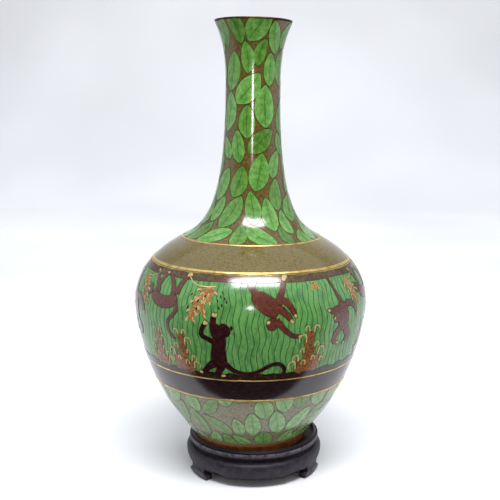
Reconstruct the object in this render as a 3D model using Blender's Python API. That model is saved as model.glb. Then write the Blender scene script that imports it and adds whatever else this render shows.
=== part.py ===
"""Cloisonne bottle vase standing in the dish of a carved hardwood stand.

Units are metres, +Z is up and the floor is Z = 0. The origin is on the vase's axis, under its
belly. The vase is one hollow vessel of enamelled copper with an open mouth. The stand is one
carved piece of wood on three scroll feet. The vase only rests in the stand's dish.
"""
import math

import bmesh
import bpy
from mathutils import Vector

# ---- vase, heights measured from the underside of its foot ring ----
VASE_HEIGHT = 0.380
MOUTH_RADIUS = 0.0345
NECK_RADIUS = 0.0243            # narrowest place of the neck
NECK_DROP = 0.0587              # from the lip down to the narrowest place
SHOULDER_RING_RADIUS = 0.0630   # gilt ring at the root of the neck
SHOULDER_RING_HEIGHT = 0.1897
BELLY_RADIUS = 0.1060
BELLY_HEIGHT = 0.1314           # where the belly is widest
LOWER_RING_RADIUS = 0.0891      # gilt ring under the dark band
LOWER_RING_HEIGHT = 0.0625
FOOT_TOP_RADIUS = 0.0575        # where the enamel ends above the copper foot
FOOT_TOP_HEIGHT = 0.0118
FOOT_RADIUS = 0.0520
FOOT_HEIGHT = 0.0050            # straight part of the foot ring
FOOT_RING_WIDTH = 0.0032
BASE_RECESS = 0.0035            # hollow under the base, inside the foot ring
WALL = 0.0022                   # copper sheet with its enamel on both faces

# ---- stand, heights measured from the floor ----
SEAT_HEIGHT = 0.0295            # floor of the dish
DISH_DEPTH = 0.0060             # from the dish's rim down to its floor
SEAT_CLEARANCE = 0.0003         # air between the foot ring and the dish
SEAT_OFFSET_X = 0.0039          # the vase was set down this much off the dish's centre
SEAT_SIDE_GAP = 0.0005          # least room between the foot ring and the dish's side
RIM_THICKNESS = 0.0016
GROOVE_DROP = 0.0049            # from the dish's floor down to the groove
GROOVE_DEPTH = 0.0038
BULGE_DROP = 0.0107             # from the dish's floor down to the widest place
BULGE_REACH = 0.0073            # from the dish's side out to the widest place
APRON_THICKNESS = 0.0095
APRON_BOTTOM = 0.0098           # lower edge of the apron, midway between two feet
PLATE_THICKNESS = 0.0100        # wood between the dish and the hollow under the stand
FOOT_COUNT = 3
FOOT_AZIMUTH = 65.0             # first foot, degrees from the front towards +X
FOOT_HALF_ANGLE = 13.0          # half of a foot's width at the floor, degrees
TOE_REACH = 0.0006              # how far the toe stands out past the bulge
TOE_HEIGHT = 0.0040
SCROLL_RADIUS = 0.0032          # round hollow of the scroll beside each foot

VASE_SEGMENTS = 48
STAND_SEGMENTS = 48

DISH_RADIUS = FOOT_RADIUS + SEAT_OFFSET_X + SEAT_SIDE_GAP
BULGE_RADIUS = DISH_RADIUS + BULGE_REACH
RIM_HEIGHT = SEAT_HEIGHT + DISH_DEPTH
GROOVE_HEIGHT = SEAT_HEIGHT - GROOVE_DROP
BULGE_HEIGHT = SEAT_HEIGHT - BULGE_DROP


def along(angle, length):
    """A handle that runs down the outline and outwards by the angle, in degrees."""
    turn = math.radians(angle)
    return Vector((math.sin(turn), -math.cos(turn))) * length


def sweep(start, start_angle, start_share, end, end_angle, end_share, count):
    """Points of one cubic curve, without its first. Handles are shares of the height it spans."""
    span = start.y - end.y
    start_handle = start + along(start_angle, start_share * span)
    end_handle = end - along(end_angle, end_share * span)
    points = []
    for step in range(1, count + 1):
        t = step / count
        s = 1.0 - t
        points.append(start * s ** 3 + start_handle * (3 * s * s * t)
                      + end_handle * (3 * s * t * t) + end * t ** 3)
    return points


def vase_outside():
    """Outer outline (radius, height) from the lip down to the top of the foot."""
    lip = Vector((MOUTH_RADIUS, VASE_HEIGHT))
    neck = Vector((NECK_RADIUS, VASE_HEIGHT - NECK_DROP))
    shoulder = Vector((SHOULDER_RING_RADIUS, SHOULDER_RING_HEIGHT))
    belly = Vector((BELLY_RADIUS, BELLY_HEIGHT))
    lower = Vector((LOWER_RING_RADIUS, LOWER_RING_HEIGHT))
    foot_top = Vector((FOOT_TOP_RADIUS, FOOT_TOP_HEIGHT))
    outline = [lip]
    outline += sweep(lip, -24.7, 0.36, neck, 0, 0.47, 7)
    outline += sweep(neck, 0, 0.90, shoulder, 58.9, 0.125, 12)
    outline += sweep(shoulder, 58.9, 0.14, belly, 0, 0.64, 9)
    outline += sweep(belly, 0, 0.23, lower, -25.5, 0.29, 7)
    outline += sweep(lower, -25.5, 0.68, foot_top, -34.2, 0.39, 6)
    return outline


def inset_outline(outline, distance):
    """Every second point of an outline that runs down, moved inwards by the wall."""
    inner = []
    for index in range(1, len(outline) - 1, 2):
        tangent = (outline[index + 1] - outline[index - 1]).normalized()
        inner.append(outline[index] + Vector((tangent.y, -tangent.x)) * distance)
    return inner


def vase_outline():
    """Closed outline: up the inner wall, over the lip, down the outside, under the foot."""
    outside = vase_outside()
    base_top = BASE_RECESS + WALL
    lip_inner = Vector((MOUTH_RADIUS - WALL, VASE_HEIGHT))
    floor_edge = Vector((FOOT_RADIUS - 0.5 * WALL, base_top))
    inside = [lip_inner] + inset_outline(outside, WALL) + [floor_edge, Vector((0.0, base_top))]
    ring_inner = FOOT_RADIUS - FOOT_RING_WIDTH
    under = [
        Vector((FOOT_RADIUS, FOOT_HEIGHT)),
        Vector((FOOT_RADIUS, 0.0)),
        Vector((ring_inner, 0.0)),
        Vector((ring_inner, BASE_RECESS)),
        Vector((0.0, BASE_RECESS)),
    ]
    return inside[::-1] + outside + under


def turned(name, outline, segments):
    """A round solid from an outline that starts and ends on the axis, as a Screw modifier."""
    mesh = bpy.data.meshes.new(name)
    points = [(point.x, 0.0, point.y) for point in outline]
    edges = [(index, index + 1) for index in range(len(points) - 1)]
    mesh.from_pydata(points, edges, [])
    solid = bpy.data.objects.new(name, mesh)
    bpy.context.collection.objects.link(solid)
    screw = solid.modifiers.new("turn", "SCREW")
    screw.steps = segments
    screw.render_steps = segments
    screw.use_merge_vertices = True
    screw.merge_threshold = 0.00001
    screw.use_smooth_shade = True
    return solid


def stand_outline():
    """Closed outline of the stand as turned, before the arches are cut between its feet."""
    rim_radius = DISH_RADIUS + RIM_THICKNESS
    arris_radius = BULGE_RADIUS - 0.8 * GROOVE_DEPTH
    arris_height = 0.5 * (RIM_HEIGHT + GROOVE_HEIGHT) + 0.0008
    groove_radius = BULGE_RADIUS - GROOVE_DEPTH
    apron_radius = BULGE_RADIUS - APRON_THICKNESS
    points = [
        (0.0, SEAT_HEIGHT),
        (DISH_RADIUS, SEAT_HEIGHT),
        (DISH_RADIUS, RIM_HEIGHT - 0.0012),
        (DISH_RADIUS + 0.3 * RIM_THICKNESS, RIM_HEIGHT),
        (rim_radius, RIM_HEIGHT),
        (arris_radius, arris_height + 0.0011),
        (arris_radius, arris_height - 0.0011),
        (groove_radius, GROOVE_HEIGHT + 0.0012),
        (groove_radius, GROOVE_HEIGHT - 0.0008),
    ]
    bulge_top = GROOVE_HEIGHT - 0.0012
    bulge_rise = bulge_top - BULGE_HEIGHT
    for angle in (60, 35, 12):
        turn = math.radians(angle)
        points.append((BULGE_RADIUS - GROOVE_DEPTH * 0.75 * (1 - math.cos(turn)) * 2,
                       BULGE_HEIGHT + bulge_rise * math.sin(turn)))
    points += [
        (BULGE_RADIUS, BULGE_HEIGHT),
        (BULGE_RADIUS - 0.0006, 0.5 * (BULGE_HEIGHT + APRON_BOTTOM)),
        (BULGE_RADIUS - 0.0022, APRON_BOTTOM + 0.0004),
        (BULGE_RADIUS - 0.0016, TOE_HEIGHT + 0.0030),
        (BULGE_RADIUS + TOE_REACH, TOE_HEIGHT),
        (BULGE_RADIUS - 0.0006, 0.0014),
        (BULGE_RADIUS - 0.0026, 0.0),
        (apron_radius, 0.0),
        (apron_radius, SEAT_HEIGHT - PLATE_THICKNESS),
        (0.0, SEAT_HEIGHT - PLATE_THICKNESS),
    ]
    return [Vector(point) for point in points]


def arch_height(share):
    """Height of the opening between two feet: 0 is midway, 1 is at the foot."""
    lobe = math.sin(math.pi * min(1.0, max(0.0, (share - 0.55) / 0.45)))
    return APRON_BOTTOM + 0.0016 * lobe - 0.0012 * math.exp(-((share - 0.52) / 0.07) ** 2)


def arch_cutter(name, azimuth, steps=22):
    """A curved wedge that opens the apron between two feet."""
    inner_radius = BULGE_RADIUS - 2.0 * APRON_THICKNESS
    outer_radius = BULGE_RADIUS + APRON_THICKNESS
    half_angle = 180.0 / FOOT_COUNT - FOOT_HALF_ANGLE
    shape = bmesh.new()
    sections = []
    for step in range(steps + 1):
        share = 2.0 * step / steps - 1.0
        turn = math.radians(azimuth + half_angle * share)
        top = arch_height(abs(share))
        corners = ((inner_radius, -0.005), (outer_radius, -0.005), (outer_radius, top), (inner_radius, top))
        section = [shape.verts.new((radius * math.sin(turn), -radius * math.cos(turn), height))
                   for radius, height in corners]
        sections.append(section)
    shape.faces.new(sections[0])
    shape.faces.new(sections[-1][::-1])
    for section, following in zip(sections, sections[1:]):
        for side in range(4):
            after = (side + 1) % 4
            shape.faces.new((section[side], section[after], following[after], following[side]))
    bmesh.ops.recalc_face_normals(shape, faces=shape.faces)
    return cutter_object(name, shape)


def scroll_cutter(name, azimuth):
    """A short round bar, pointing at the axis, that hollows the scroll beside a foot."""
    shape = bmesh.new()
    bmesh.ops.create_cone(shape, cap_ends=True, segments=12, radius1=SCROLL_RADIUS,
                          radius2=SCROLL_RADIUS, depth=4.0 * APRON_THICKNESS)
    cutter = cutter_object(name, shape)
    turn = math.radians(azimuth)
    cutter.rotation_euler = (math.radians(90.0), 0.0, turn)
    cutter.location = (BULGE_RADIUS * math.sin(turn), -BULGE_RADIUS * math.cos(turn),
                       APRON_BOTTOM - 0.7 * SCROLL_RADIUS)
    return cutter


def cutter_object(name, shape):
    mesh = bpy.data.meshes.new(name)
    shape.to_mesh(mesh)
    shape.free()
    cutter = bpy.data.objects.new(name, mesh)
    bpy.context.collection.objects.link(cutter)
    cutter.hide_render = True
    cutter.display_type = "WIRE"
    return cutter


def cut(solid, cutter):
    """Take the cutter's shape out of the solid and keep the cutter beside it."""
    cutter.parent = solid
    boolean = solid.modifiers.new("cut_" + cutter.name, "BOOLEAN")
    boolean.operation = "DIFFERENCE"
    boolean.solver = "EXACT"
    boolean.object = cutter


def finish(name, colour, roughness, metallic):
    """A plain Principled material."""
    material = bpy.data.materials.new(name)
    material.use_nodes = True
    shader = material.node_tree.nodes["Principled BSDF"]
    shader.inputs["Base Color"].default_value = (*colour, 1.0)
    shader.inputs["Roughness"].default_value = roughness
    shader.inputs["Metallic"].default_value = metallic
    return material


def make_vase():
    vase = turned("vase", vase_outline(), VASE_SEGMENTS)
    vase.location.z = SEAT_HEIGHT + SEAT_CLEARANCE
    vase.data.materials.append(finish("enamelled_copper", (0.05, 0.22, 0.06), 0.22, 0.0))
    return vase


def make_stand():
    stand = turned("wood_stand", stand_outline(), STAND_SEGMENTS)
    stand.location.x = SEAT_OFFSET_X
    spacing = 360.0 / FOOT_COUNT
    for index in range(FOOT_COUNT):
        foot = FOOT_AZIMUTH + spacing * index
        cut(stand, arch_cutter("arch_%d" % index, foot + 0.5 * spacing))
        for side in (-1, 1):
            edge = foot + side * (FOOT_HALF_ANGLE - 0.5)
            cut(stand, scroll_cutter("scroll_%d_%s" % (index, "left" if side < 0 else "right"), edge))
    stand.data.materials.append(finish("stained_hardwood", (0.012, 0.009, 0.010), 0.38, 0.0))
    return stand


for leftover in list(bpy.data.objects):
    bpy.data.objects.remove(leftover, do_unlink=True)
make_vase()
make_stand()
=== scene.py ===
"""Looks of a cloisonne bottle vase and its carved wood stand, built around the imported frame.

The picture on the vase is laid out flat, in millimetres across and down the wall, and each cell is
then wrapped round the vessel. Metres elsewhere, +Z up, the front is towards -Y.
"""
import math
import random

import bpy
import numpy as np
from mathutils import Matrix, Vector


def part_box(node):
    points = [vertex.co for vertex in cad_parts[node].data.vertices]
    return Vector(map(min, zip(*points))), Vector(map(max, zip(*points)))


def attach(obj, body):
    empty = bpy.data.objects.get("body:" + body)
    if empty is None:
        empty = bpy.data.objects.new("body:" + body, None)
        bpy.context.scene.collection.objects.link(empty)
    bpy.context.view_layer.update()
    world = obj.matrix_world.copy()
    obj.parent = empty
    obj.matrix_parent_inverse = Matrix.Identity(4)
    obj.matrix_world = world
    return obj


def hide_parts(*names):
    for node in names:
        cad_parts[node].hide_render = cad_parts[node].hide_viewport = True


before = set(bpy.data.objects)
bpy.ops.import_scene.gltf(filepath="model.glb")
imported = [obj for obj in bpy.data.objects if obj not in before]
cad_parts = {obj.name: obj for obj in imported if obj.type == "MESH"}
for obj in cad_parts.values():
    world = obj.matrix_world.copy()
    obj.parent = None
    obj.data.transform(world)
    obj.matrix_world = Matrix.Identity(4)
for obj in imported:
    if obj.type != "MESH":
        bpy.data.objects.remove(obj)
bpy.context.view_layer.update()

# ==================================================================================================
# The vessel: copper sheet raised to a bottle, enamelled inside and out and ground smooth. Bare
# copper shows at the lip and the foot ring. Its wall is turned here from the same curves as the
# solid, finely enough that the gloss runs over it without facets.
# ==================================================================================================
MM = 0.001
vase_low, vase_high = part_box("vase")
FOOT_Z = vase_low[2]
LIP_Z = vase_high[2]
BELLY_RADIUS = 0.5 * (vase_high[0] - vase_low[0])
MOUTH_RADIUS = 0.0345
NECK_RADIUS = 0.0243
NECK_Z = LIP_Z - 0.0587
SHOULDER_RING_RADIUS = 0.0630
SHOULDER_RING_Z = FOOT_Z + 0.1897
BELLY_Z = FOOT_Z + 0.1314
LOWER_RING_RADIUS = 0.0891
LOWER_RING_Z = FOOT_Z + 0.0625
FOOT_TOP_RADIUS = 0.0575
FOOT_TOP_Z = FOOT_Z + 0.0118
FOOT_RADIUS = 0.0520
FOOT_RING_TOP = FOOT_Z + 0.0050
FOOT_RING_WIDTH = 0.0032
BASE_RECESS = 0.0035
WALL = 0.0022
TURN_STEPS = 160


def along(angle, length):
    """A handle that runs down the outline and outwards by the angle, in degrees."""
    lean = math.radians(angle)
    return Vector((math.sin(lean), -math.cos(lean))) * length


def sweep(start, start_angle, start_share, end, end_angle, end_share, count):
    """Points of one cubic curve, without its first. Handles are shares of the height it spans."""
    span = start.y - end.y
    start_handle = start + along(start_angle, start_share * span)
    end_handle = end - along(end_angle, end_share * span)
    points = []
    for step in range(1, count + 1):
        t = step / count
        s = 1.0 - t
        points.append(start * s ** 3 + start_handle * (3 * s * s * t)
                      + end_handle * (3 * s * t * t) + end * t ** 3)
    return points


lip = Vector((MOUTH_RADIUS, LIP_Z))
neck = Vector((NECK_RADIUS, NECK_Z))
shoulder = Vector((SHOULDER_RING_RADIUS, SHOULDER_RING_Z))
belly = Vector((BELLY_RADIUS, BELLY_Z))
lower = Vector((LOWER_RING_RADIUS, LOWER_RING_Z))
foot_top = Vector((FOOT_TOP_RADIUS, FOOT_TOP_Z))
outline = [lip]
outline += sweep(lip, -24.7, 0.36, neck, 0, 0.47, 30)
outline += sweep(neck, 0, 0.90, shoulder, 58.9, 0.125, 64)
outline += sweep(shoulder, 58.9, 0.14, belly, 0, 0.64, 40)
outline += sweep(belly, 0, 0.23, lower, -25.5, 0.29, 34)
outline += sweep(lower, -25.5, 0.68, foot_top, -34.2, 0.39, 30)

# The outline as tables: distance down from the lip, radius, height and the outward direction.
wall_radius = np.array([point.x for point in outline])
wall_z = np.array([point.y for point in outline])
wall_down = np.concatenate([[0.0], np.cumsum(np.hypot(np.diff(wall_radius), np.diff(wall_z)))])
run_out = np.gradient(wall_radius, wall_down)
run_up = np.gradient(wall_z, wall_down)


def down_at(z):
    """Distance down the outline from the lip to a height, in millimetres."""
    return float(np.interp(-z, -wall_z, wall_down)) / MM


def on_vase(turn, down, lift):
    """Points on the wall: degrees from the front, millimetres down from the lip and off the wall."""
    down = np.asarray(down) * MM
    lift = np.asarray(lift) * MM
    out = np.interp(down, wall_down, wall_radius) - lift * np.interp(down, wall_down, run_up)
    z = np.interp(down, wall_down, wall_z) + lift * np.interp(down, wall_down, run_out)
    angle = np.radians(turn)
    return np.stack([out * np.sin(angle), -out * np.cos(angle), z], axis=-1)


def select_only(piece):
    bpy.ops.object.select_all(action="DESELECT")
    piece.select_set(True)
    bpy.context.view_layer.objects.active = piece


def spun(name, points, steps=TURN_STEPS, centre_x=0.0):
    """A turned piece: a chain of (radius, z) points is spun round an upright axis."""
    mesh = bpy.data.meshes.new(name)
    chain = [(point[0] + centre_x, 0.0, point[1]) for point in points]
    mesh.from_pydata(chain, [(index, index + 1) for index in range(len(chain) - 1)], [])
    piece = bpy.data.objects.new(name, mesh)
    bpy.context.collection.objects.link(piece)
    select_only(piece)
    bpy.ops.object.mode_set(mode="EDIT")
    bpy.ops.mesh.select_all(action="SELECT")
    bpy.ops.mesh.spin(steps=steps, angle=math.tau, center=(centre_x, 0.0, 0.0), axis=(0.0, 0.0, 1.0))
    bpy.ops.mesh.select_all(action="SELECT")
    bpy.ops.mesh.remove_doubles(threshold=0.00002)
    bpy.ops.mesh.normals_make_consistent(inside=False)
    bpy.ops.object.mode_set(mode="OBJECT")
    bpy.ops.object.shade_smooth()
    return piece


def linear(hex_colour):
    """An sRGB hex colour as linear RGBA."""
    channels = [int(hex_colour[place:place + 2], 16) / 255.0 for place in (1, 3, 5)]
    return tuple(c / 12.92 if c <= 0.04045 else ((c + 0.055) / 1.055) ** 2.4 for c in channels) + (1.0,)


def add_node(material, kind, inputs=None, stops=None, **settings):
    """Adds a node. Settings are its own properties, inputs are values or sockets to link from, and
    stops are the (position, hex colour) pairs of a colour ramp. In a Mix node input 0 is the
    factor and inputs 6 and 7 are its colours."""
    tree = material.node_tree
    node = tree.nodes.new(kind)
    for name, value in settings.items():
        setattr(node, name, value)
    for name, value in (inputs or {}).items():
        if isinstance(value, bpy.types.NodeSocket):
            tree.links.new(value, node.inputs[name])
        else:
            node.inputs[name].default_value = value
    if stops:
        elements = node.color_ramp.elements
        elements[0].position = stops[0][0]
        elements[1].position = stops[-1][0]
        for position, _ in stops[1:-1]:
            elements.new(position)
        for element, (_, colour) in zip(elements, stops):
            element.color = linear(colour)
    return node


def mottle(material, size_mm, detail=3.0, roughness=0.55, stretch=None):
    """Soft blotches about size_mm across, fixed to the piece, as a factor socket."""
    place = add_node(material, "ShaderNodeTexCoord").outputs["Object"]
    if stretch:
        place = add_node(material, "ShaderNodeMapping", {"Vector": place, "Scale": stretch}).outputs[0]
    return add_node(material, "ShaderNodeTexNoise",
                    {"Vector": place, "Scale": 1.0 / (size_mm * MM), "Detail": detail,
                     "Roughness": roughness}).outputs["Fac"]


def new_material(name, roughness, metallic=0.0, ior=1.5):
    """A Principled material and its shader, with the values that are the same all over."""
    material = bpy.data.materials.new(name)
    material.use_nodes = True
    shader = material.node_tree.nodes["Principled BSDF"]
    shader.inputs["Roughness"].default_value = roughness
    shader.inputs["Metallic"].default_value = metallic
    shader.inputs["IOR"].default_value = ior
    return material, shader


ENAMEL_ROUGHNESS = 0.16
ENAMEL_IOR = 1.6


def ground_by_hand(material, shader):
    """Glass that was ground by hand keeps shallow hollows, 9 mm across and 0.02 mm deep."""
    bump = add_node(material, "ShaderNodeBump", {"Height": mottle(material, 9.0, detail=2.0),
                                                 "Distance": 0.02 * MM, "Strength": 1.0})
    material.node_tree.links.new(bump.outputs["Normal"], shader.inputs["Normal"])


def enamel(name, stops, blotch_mm, stretch=None, roughness=ENAMEL_ROUGHNESS):
    """Lead-glass enamel, fused and ground smooth: glossy, and cloudy where the powder lay uneven."""
    material, shader = new_material(name, roughness, ior=ENAMEL_IOR)
    cloud = mottle(material, blotch_mm, detail=4.0, roughness=0.62, stretch=stretch)
    colour = add_node(material, "ShaderNodeValToRGB", {"Fac": cloud}, stops)
    material.node_tree.links.new(colour.outputs["Color"], shader.inputs["Base Color"])
    ground_by_hand(material, shader)
    return material


def metal(name, stops, patch_mm, roughness, metallic=1.0, detail=5.0):
    """Worn metal: bright where it is rubbed, brown where it has toned."""
    material, shader = new_material(name, roughness, metallic=metallic)
    patches = mottle(material, patch_mm, detail=detail)
    colour = add_node(material, "ShaderNodeValToRGB", {"Fac": patches}, stops)
    material.node_tree.links.new(colour.outputs["Color"], shader.inputs["Base Color"])
    return material


# The grounds are opaque enamel, fired and ground flush: a deep gloss over small soft clouds.
neck_ground = enamel("brown_enamel_of_neck", [(0.3, "#3a2f12"), (0.5, "#52431d"), (0.7, "#645226")], 2.2)
foot_ground = enamel("brown_enamel_of_foot", [(0.3, "#4c4836"), (0.5, "#666048"), (0.7, "#767054")], 2.2)
# Olive powders mixed on the shoulder: fine speckle of brown and green under one gloss.
shoulder_glass = enamel("olive_enamel_of_shoulder",
                        [(0.32, "#43371c"), (0.46, "#5a4d26"), (0.56, "#685a32"), (0.68, "#565c2e")],
                        1.5, stretch=(1.0, 1.0, 1.6))
# Copper-green enamel of the frieze: large clouds that drift down the wall, from leaf to sea green.
frieze_glass = enamel("green_enamel_of_frieze",
                      [(0.32, "#3c6a39"), (0.46, "#47763b"), (0.56, "#568542"), (0.70, "#41784b")],
                      5.0, stretch=(1.0, 1.0, 0.45))
# Manganese-brown enamel of the dark band: nearly black, with a little red-brown in the light.
band_glass = enamel("black_brown_enamel_of_band",
                    [(0.34, "#0d0609"), (0.48, "#1a0e14"), (0.58, "#2a1616"), (0.70, "#33241a")], 2.0)
# The counter enamel inside is left as fired: turquoise, with a softer gloss.
inside_glass = enamel("turquoise_enamel_inside", [(0.35, "#1d5c60"), (0.65, "#2f7f7c")], 8.0, roughness=0.3)
# Copper of the lip, toned by age: dark brown, with a dull broad shine.
old_copper = metal("toned_copper", [(0.35, "#2c2015"), (0.6, "#5a4128")], 4.0, 0.45)
# Copper of the foot, rubbed bare and half oxidised: warm orange, more matt than polished metal.
foot_copper = metal("bare_copper_of_foot", [(0.35, "#a4542e"), (0.6, "#d97c42")], 4.0, 0.45, metallic=0.5)

EASE = 0.0006
COPPER_Z = FOOT_Z + 0.0082
foot_inner = FOOT_RADIUS - FOOT_RING_WIDTH
shell_points = outline + [(0.5 * (FOOT_RADIUS + FOOT_TOP_RADIUS) + 0.0002, COPPER_Z),
                          (FOOT_RADIUS + EASE, FOOT_RING_TOP + 2 * EASE), (FOOT_RADIUS, FOOT_RING_TOP),
                          (FOOT_RADIUS, FOOT_Z + EASE), (FOOT_RADIUS - EASE, FOOT_Z),
                          (foot_inner, FOOT_Z), (foot_inner, FOOT_Z + BASE_RECESS)]
shell_points += [(foot_inner * share, FOOT_Z + BASE_RECESS) for share in (0.75, 0.5, 0.25, 0.0)]
inner_points = []
for index in range(len(outline) - 2, 0, -3):
    inward = (outline[index + 1] - outline[index - 1]).normalized()
    inner_points.append(outline[index] + Vector((inward.y, -inward.x)) * WALL)
floor_radius = FOOT_RADIUS - 0.5 * WALL
floor_z = FOOT_Z + BASE_RECESS + WALL
floor_points = [(floor_radius * share, floor_z) for share in (0.0, 0.3, 0.6, 0.85, 1.0)]
lip_roll = [(MOUTH_RADIUS - WALL, LIP_Z - 0.0007), (MOUTH_RADIUS - WALL + EASE, LIP_Z),
            (MOUTH_RADIUS - EASE, LIP_Z)]
shell = spun("vase_shell", floor_points + inner_points + lip_roll + shell_points)

# Where one zone of the picture ends and the next begins, in millimetres down from the lip.
SHOULDER_DOWN = down_at(SHOULDER_RING_Z)
FRIEZE_DOWN = SHOULDER_DOWN + 32.8
LEAF_DOWN = down_at(LOWER_RING_Z)
BAND_DOWN = LEAF_DOWN - 21.2
FOOT_DOWN = down_at(FOOT_TOP_Z)
LIP_BAND = 1.4
BOUGH_DEPTH = 3.0
zone_ends = [LIP_BAND, SHOULDER_DOWN, FRIEZE_DOWN + BOUGH_DEPTH, BAND_DOWN, LEAF_DOWN]
zone_glass = [old_copper, neck_ground, shoulder_glass, frieze_glass, band_glass, foot_ground]
for glass in zone_glass + [foot_copper, inside_glass]:
    shell.data.materials.append(glass)
for face in shell.data.polygons:
    radius = math.hypot(face.center.x, face.center.y)
    down = down_at(face.center.z)
    skin = np.interp(down * MM, wall_down, wall_radius)
    is_outside = radius > skin - 0.4 * WALL or face.center.z < FOOT_TOP_Z and radius > foot_inner
    glass = zone_glass[sum(down > end for end in zone_ends)] if is_outside else inside_glass
    if face.center.z > LIP_Z - 0.0010:
        glass = old_copper
    if is_outside and face.center.z < COPPER_Z or face.center.z < FOOT_Z + BASE_RECESS + 0.0005:
        glass = foot_copper
    face.material_index = shell.data.materials.find(glass.name)
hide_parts("vase")
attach(shell, "root")

# ==================================================================================================
# The gilt rings: flat brass wires laid round the vessel where one picture ends and the next
# begins. They are soldered on before the enamel and gilded last, so they stand a little proud.
# ==================================================================================================
RING_PROUD = 0.45
RING_SUNK = 0.05
# Fire gilding, burnished: pale warm gold with a soft shine, browner where it has been handled.
gilding = metal("gilding", [(0.30, "#bb8f46"), (0.48, "#e0bc6e"), (0.7, "#efd794")], 6.0, 0.33,
                metallic=0.9, detail=4.0)


def gilt_ring(name, down, width):
    """A wire of rounded section, lying on the wall at a distance down from the lip."""
    section = []
    for step in range(9):
        share = step / 8.0
        side = width * (share - 0.5)
        rise = RING_PROUD * math.sin(math.pi * share) ** 0.6 - RING_SUNK
        section.append(on_vase(90.0, down + side, rise))
    points = [(point[0], point[2]) for point in section]
    ring = spun(name, points + [points[0]])
    ring.data.materials.append(gilding)
    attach(ring, "root")


gilt_ring("gilt_ring_neck", SHOULDER_DOWN, 2.0)
gilt_ring("gilt_ring_shoulder", FRIEZE_DOWN - 0.5, 2.7)
gilt_ring("gilt_ring_shoulder_fine", FRIEZE_DOWN + 1.8, 0.6)
gilt_ring("gilt_ring_band_top", BAND_DOWN, 1.4)
gilt_ring("gilt_ring_band_bottom", LEAF_DOWN, 1.6)

# ==================================================================================================
# The leaves: wire cells filled with green glass, set close together up the neck and round the
# foot, on a brown ground. One flat cell is made as a grid, and every leaf is that grid shaped,
# turned a little its own way, and wrapped on the wall.
# ==================================================================================================
# How far a cell's wire, its glass and each further layer stand off the wall, in millimetres.
WIRE_LIFT = 0.10
GLASS_LIFT = 0.17
LAYER = 0.05
flat_cells = {}


def unit_grid(columns, rows):
    """A flat grid, one metre each way about the origin."""
    bpy.ops.object.select_all(action="DESELECT")
    bpy.ops.mesh.primitive_grid_add(x_subdivisions=columns, y_subdivisions=rows, size=1.0)
    return bpy.context.object


def flat_cell(columns, rows):
    """The grid that a cell starts from: (across, along) of its points, and its faces."""
    if (columns, rows) not in flat_cells:
        grid = unit_grid(columns, rows)
        places = np.array([vertex.co[:2] for vertex in grid.data.vertices]) + 0.5
        faces = np.array([tuple(face.vertices) for face in grid.data.polygons])
        flat_cells[(columns, rows)] = (places, faces)
        bpy.data.objects.remove(grid, do_unlink=True)
    return flat_cells[(columns, rows)]


def smooth_run(points, shares):
    """A smooth curve through (x, y, width) points, read at shares of its length from 0 to 1."""
    knots = np.array(points, dtype=float)
    knots = np.vstack([2 * knots[0] - knots[1], knots, 2 * knots[-1] - knots[-2]])
    spans = len(knots) - 3
    place = np.clip(np.asarray(shares) * spans, 0.0, spans - 1e-9)
    first = place.astype(int)
    t = (place - first)[:, None]
    a, b, c, d = (knots[first + step] for step in range(4))
    return 0.5 * (2 * b + (c - a) * t + (2 * a - 5 * b + 4 * c - d) * t ** 2
                  + (3 * b - a - 3 * c + d) * t ** 3)


def stroke(points, columns=4, rows=14, grow=0.0):
    """A flat shape of varying width with rounded ends: (x, y) of a cell's points, in millimetres."""
    places, faces = flat_cell(columns, rows)
    shares = 0.5 - 0.5 * np.cos(np.pi * np.linspace(0.0, 1.0, rows + 1))
    run = smooth_run(points, shares)
    tangent = np.gradient(run[:, :2], axis=0)
    tangent /= np.maximum(np.linalg.norm(tangent, axis=1), 1e-9)[:, None]
    length = np.concatenate([[0.0], np.cumsum(np.linalg.norm(np.diff(run[:, :2], axis=0), axis=1))])
    half = np.maximum(run[:, 2], 0.05) * 0.5
    nearest_end = np.minimum(length, length[-1] - length)
    cap = np.clip(nearest_end / np.maximum(half, 1e-6), 0.0, 1.0)
    half = half * np.sqrt(1.0 - (1.0 - cap) ** 2) + grow
    run[:, :2] -= tangent * (np.linspace(1.0, -1.0, rows + 1) * grow)[:, None]
    row = np.rint(places[:, 1] * rows).astype(int)
    side = (places[:, 0] - 0.5) * 2.0
    across = np.stack([-tangent[:, 1], tangent[:, 0]], axis=1)
    flat = run[row, :2] + across[row] * (side * half[row])[:, None]
    return flat, faces, places


def wrap(flat, turn, down, lift, spin=0.0, flip=1.0, size=1.0, keep=None):
    """Flat points turned, mirrored and sized, then laid on the wall about a place on it."""
    angle = math.radians(spin)
    x = flat[:, 0] * flip * size
    y = flat[:, 1] * size
    across = x * math.cos(angle) - y * math.sin(angle)
    along_wall = x * math.sin(angle) + y * math.cos(angle)
    radius = np.interp(down * MM, wall_down, wall_radius)
    drop = down + along_wall
    if keep:
        drop = np.clip(drop, keep[0], keep[1])
    return on_vase(turn + np.degrees(across * MM / radius), drop, lift)


def wall_normals(mesh):
    """The ground wall's own direction at each vertex, so that gloss runs on from cell to cell."""
    places = np.empty(3 * len(mesh.vertices), dtype=np.float32)
    mesh.vertices.foreach_get("co", places)
    places = places.reshape(-1, 3)
    down = np.interp(-places[:, 2], -wall_z, wall_down)
    out = np.maximum(np.hypot(places[:, 0], places[:, 1]), 1e-6)
    level = -np.interp(down, wall_down, run_up)
    rise = np.interp(down, wall_down, run_out)
    normals = np.stack([level * places[:, 0] / out, level * places[:, 1] / out, rise], axis=1)
    return (normals / np.linalg.norm(normals, axis=1)[:, None]).tolist()


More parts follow.
